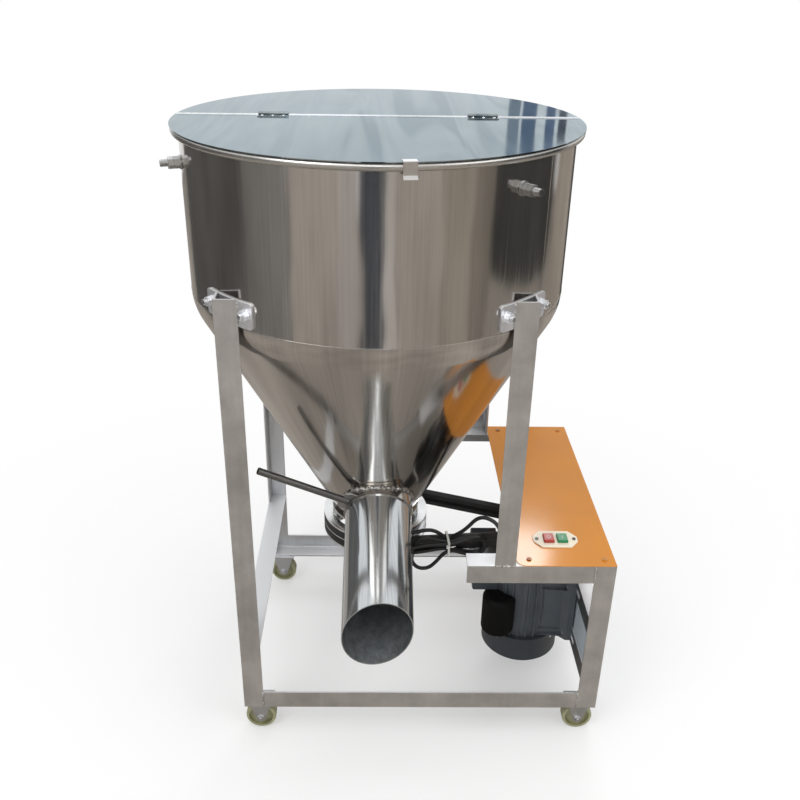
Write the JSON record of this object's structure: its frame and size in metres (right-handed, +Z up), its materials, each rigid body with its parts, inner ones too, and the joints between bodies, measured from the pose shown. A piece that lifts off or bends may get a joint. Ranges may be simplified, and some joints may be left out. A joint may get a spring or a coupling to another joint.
{
  "type": "feed mixer",
  "caption": "Vertical screw feed mixer: conical hopper with a hinged half lid, belt-driven central screw, slide-gate spout and wheeled angle-iron frame.",
  "frame": {"origin": "on the floor under the hopper's vertical axis", "axes": "+Z up along the hopper axis; the spout points to -Y, the motor stands on the +X side"},
  "size_m": [0.8358, 0.7687, 1.2288],
  "materials": {
    "frame_steel": "satin, welded",
    "hopper_steel": "polished",
    "lid_steel": "polished sheet",
    "inner_steel": "mill",
    "saddle_steel": "satin",
    "bolt_steel": "bright",
    "plate_blue": "grey primer",
    "pulley_metal": "turned",
    "bearing_steel": "ground",
    "bearing_iron": "painted casting",
    "belt_rubber": "matt",
    "motor_black": "gloss enamel",
    "fan_plastic": "moulded",
    "cover_orange": "powder coat",
    "switch_cream": "moulded",
    "button_red": "moulded",
    "button_green": "moulded",
    "cord_black": "sheath",
    "tie_white": "nylon",
    "wheel_nylon": "nylon",
    "fork_zinc": "zinc plated"
  },
  "bodies": {
    "frame": {"bearing_housing": "bearing_iron", "bottom_rails": "frame_steel", "cable_tie": "tie_white", "capacitor_case": "motor_black", "castor_forks": "fork_zinc", "cord_hank": "cord_black", "cord_plug": "cord_black", "cord_tail": "cord_black", "cover_screws": "bolt_steel", "drive_belts": "belt_rubber", "frame_bolts": "bolt_steel", "frame_leg_left_front": "frame_steel", "frame_leg_left_rear": "frame_steel", "frame_leg_right_front": "frame_steel", "frame_leg_right_rear": "frame_steel", "guide_tube": "inner_steel", "guide_tube_arms": "inner_steel", "hopper_floor_plate": "hopper_steel", "hopper_saddles": "saddle_steel", "hopper_shell": "hopper_steel", "left_side_rail": "frame_steel", "lid_hinge_fixed": "lid_steel", "lid_rear": "lid_steel", "motor_end_shield": "motor_black", "motor_fan_cowl": "motor_black", "motor_housing": "motor_black", "motor_lead": "cord_black", "motor_plate": "plate_blue", "motor_rails": "frame_steel", "pulley_cover": "cover_orange", "shaft_seal": "belt_rubber", "spout_collar": "hopper_steel", "spout_tube": "hopper_steel", "stand_legs": "frame_steel", "supply_cord": "cord_black", "switch_box": "fan_plastic", "switch_plate": "switch_cream", "table_beam_front": "frame_steel", "table_beam_rear": "frame_steel", "table_beam_right": "frame_steel", "terminal_box": "motor_black"},
    "lid": {"lid_front": "lid_steel", "lid_hinge_moving": "lid_steel", "lid_clip": "lid_steel"},
    "screw": {"screw_shaft": "inner_steel", "screw_flight": "inner_steel", "driven_pulley": "pulley_metal", "bearing_inner_ring": "bearing_steel"},
    "rotor": {"motor_rotor": "bearing_steel", "motor_fan": "fan_plastic", "motor_pulley": "pulley_metal"},
    "gate": {"gate_plate": "inner_steel", "gate_rod": "inner_steel"},
    "stop_button": {"button_stop": "button_red"},
    "start_button": {"button_start": "button_green"},
    "wheel_front_left": {"castor_wheel_front_left": "wheel_nylon"},
    "wheel_rear_left": {"castor_wheel_rear_left": "wheel_nylon"},
    "wheel_front_right": {"castor_wheel_front_right": "wheel_nylon"},
    "wheel_rear_right": {"castor_wheel_rear_right": "wheel_nylon"}
  },
  "joints": [
    {"name": "lid_hinge", "type": "hinge", "parent": "frame", "child": "lid", "pos_m": [0, 0.02, 1.2258], "axis": [-1, 0, 0], "range_deg": [0, 170]},
    {"name": "screw_spin", "type": "hinge", "parent": "frame", "child": "screw", "pos_m": [0, 0, 0.368], "axis": [0, 0, 1], "continuous": true},
    {"name": "motor_spin", "type": "hinge", "parent": "frame", "child": "rotor", "pos_m": [0.3344, -0.042, 0.368], "axis": [0, 0, 1], "continuous": true},
    {"name": "gate_slide", "type": "slide", "parent": "frame", "child": "gate", "axis": [-0.8572, -0.1979, 0.4755], "range_m": [0, 0.12]},
    {"name": "stop_press", "type": "slide", "parent": "frame", "child": "stop_button", "axis": [0, 0, -1], "range_m": [0, 0.003], "stiffness_N_per_m": 400},
    {"name": "start_press", "type": "slide", "parent": "frame", "child": "start_button", "axis": [0, 0, -1], "range_m": [0, 0.003], "stiffness_N_per_m": 400},
    {"name": "wheel_spin_front_left", "type": "hinge", "parent": "frame", "child": "wheel_front_left", "pos_m": [-0.239, -0.245, 0.0315], "axis": [0, 1, 0], "continuous": true},
    {"name": "wheel_spin_rear_left", "type": "hinge", "parent": "frame", "child": "wheel_rear_left", "pos_m": [-0.239, 0.245, 0.0315], "axis": [0, 1, 0], "continuous": true},
    {"name": "wheel_spin_front_right", "type": "hinge", "parent": "frame", "child": "wheel_front_right", "pos_m": [0.4334, -0.245, 0.0315], "axis": [0, 1, 0], "continuous": true},
    {"name": "wheel_spin_rear_right", "type": "hinge", "parent": "frame", "child": "wheel_rear_right", "pos_m": [0.4334, 0.245, 0.0315], "axis": [0, 1, 0], "continuous": true}
  ],
  "couplings": [
    {"joint": "motor_spin", "follows": "screw_spin", "ratio": 3}
  ]
}
